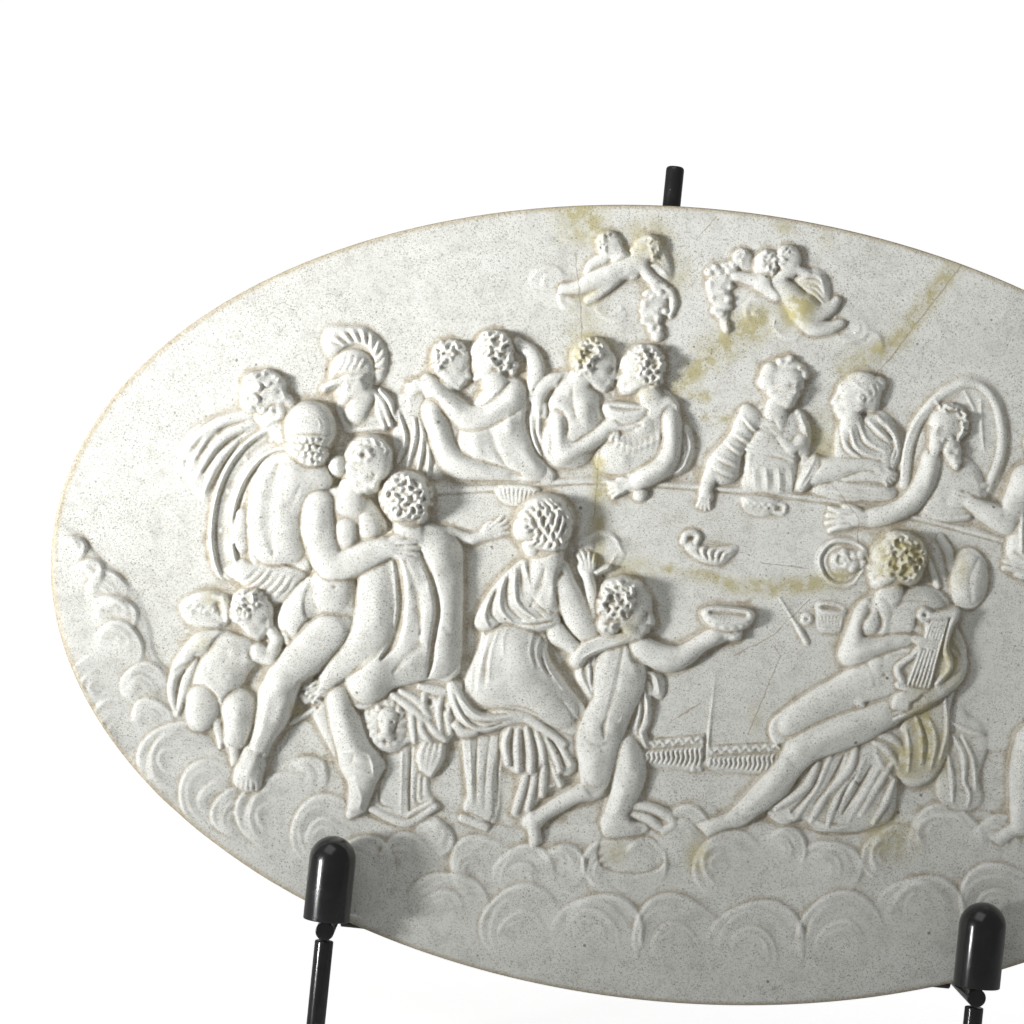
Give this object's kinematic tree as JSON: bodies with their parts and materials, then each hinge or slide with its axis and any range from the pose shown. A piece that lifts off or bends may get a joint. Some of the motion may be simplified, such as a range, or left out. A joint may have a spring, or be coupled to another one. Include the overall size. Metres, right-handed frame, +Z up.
{
  "type": "bas-relief plaque",
  "caption": "Oval cast bas-relief plaque with a mythological banquet on clouds, leaning on a black round-bar display stand.",
  "frame": {"origin": "centre of the bounding box at floor level, between the stand's pads", "axes": "+Z up, the relief faces -Y and leans back, +X to the onlooker's right along the oval's long axis"},
  "size_m": [0.4, 0.16, 0.278],
  "materials": {
    "plaster": "matt cast plaster with fine grey specks, yellow glue stains and brown hairline cracks",
    "black_paint": "gloss black",
    "black_rubber": "matt black"
  },
  "bodies": {
    "root": {"plaque": "plaster", "crossbar": "black_paint", "post": "black_paint", "rear_bracket": "black_paint", "rear_leg": "black_paint", "rear_pad": "black_rubber", "left_hook_arm": "black_paint", "left_hook_peg": "black_paint", "left_front_leg": "black_paint", "left_front_pad": "black_rubber", "right_hook_arm": "black_paint", "right_hook_peg": "black_paint", "right_front_leg": "black_paint", "right_front_pad": "black_rubber"}
  },
  "joints": []
}
